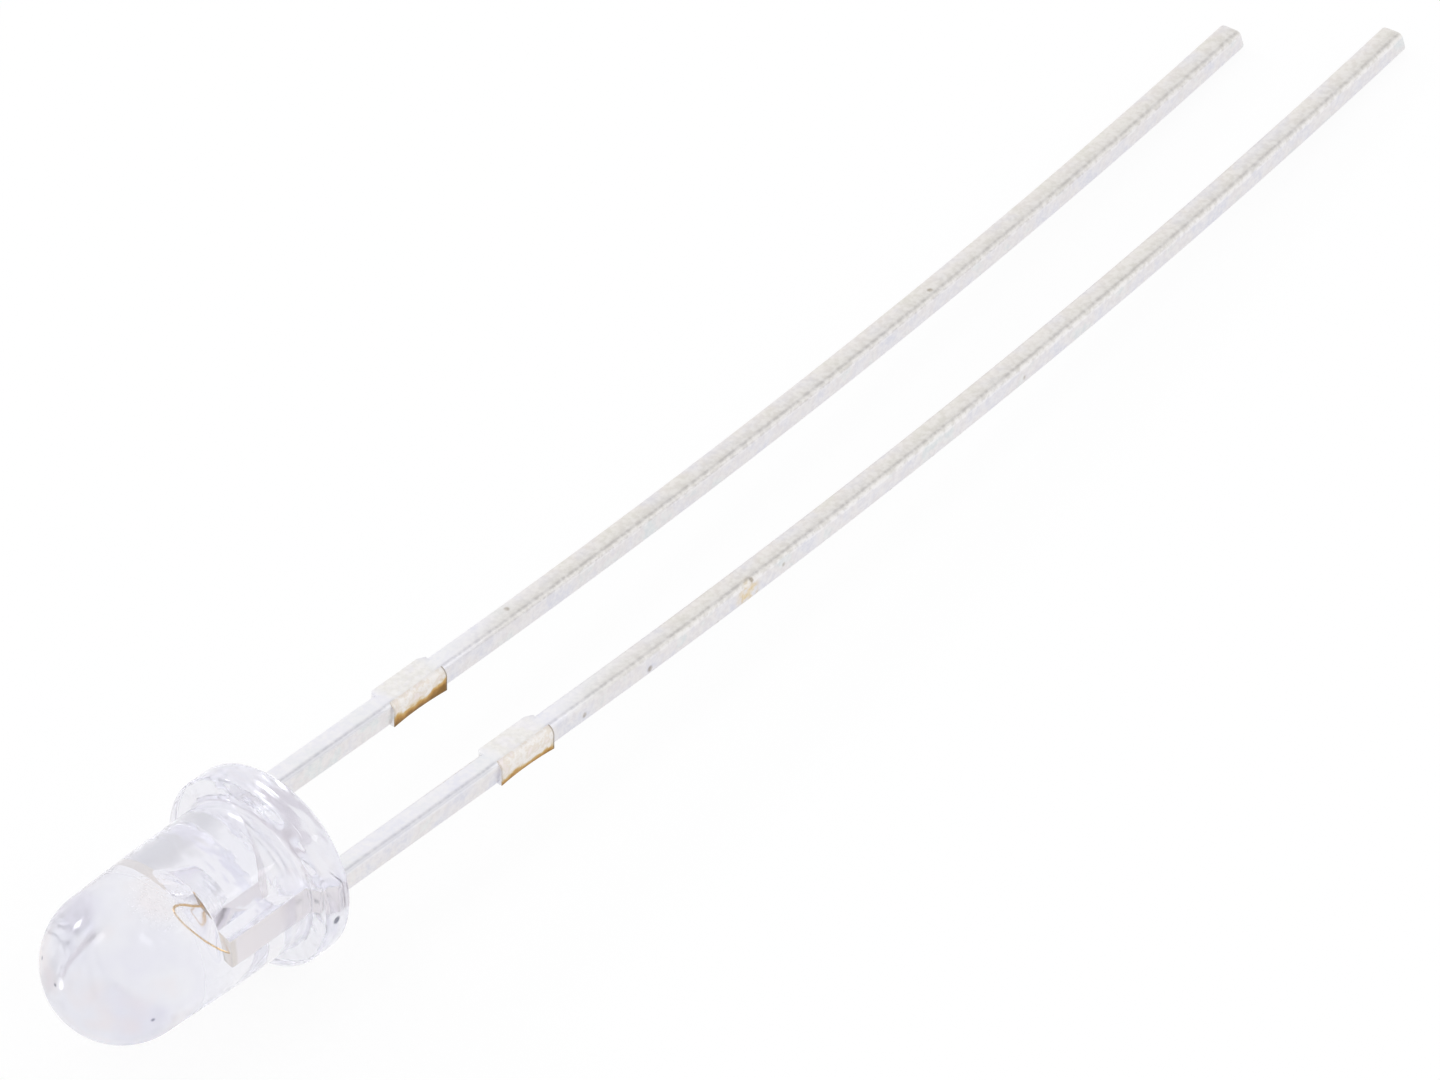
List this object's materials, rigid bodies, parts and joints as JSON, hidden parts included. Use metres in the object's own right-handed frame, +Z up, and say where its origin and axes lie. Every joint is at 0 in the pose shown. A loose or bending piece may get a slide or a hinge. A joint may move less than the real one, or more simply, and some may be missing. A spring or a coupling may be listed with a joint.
{
  "type": "through hole led",
  "caption": "Clear round through-hole LED with a domed lens, a seating rim and long square leads with stops, for lighting and signalling.",
  "frame": {"origin": "middle of the bounding box on the surface that the LED lies on", "axes": "+X along the leads towards their tips, with the dome at -X; +Y towards the cathode lead's side; +Z up"},
  "size_m": [0.0374, 0.0048, 0.0038],
  "materials": {
    "clear_epoxy": "water-clear cast epoxy, polished dome, slightly hazy barrel",
    "tinned_steel": "dull bright tin, with bare brown metal on the sheared stops",
    "semiconductor": "polished crystal with sawn sides",
    "silver_epoxy": "silver-filled glue",
    "gold_wire": "drawn gold"
  },
  "bodies": {
    "root": {"lens_body": "clear_epoxy", "cathode_lead": "tinned_steel", "anode_lead": "tinned_steel", "die": "semiconductor", "die_attach": "silver_epoxy", "bond_wire": "gold_wire"}
  },
  "joints": []
}
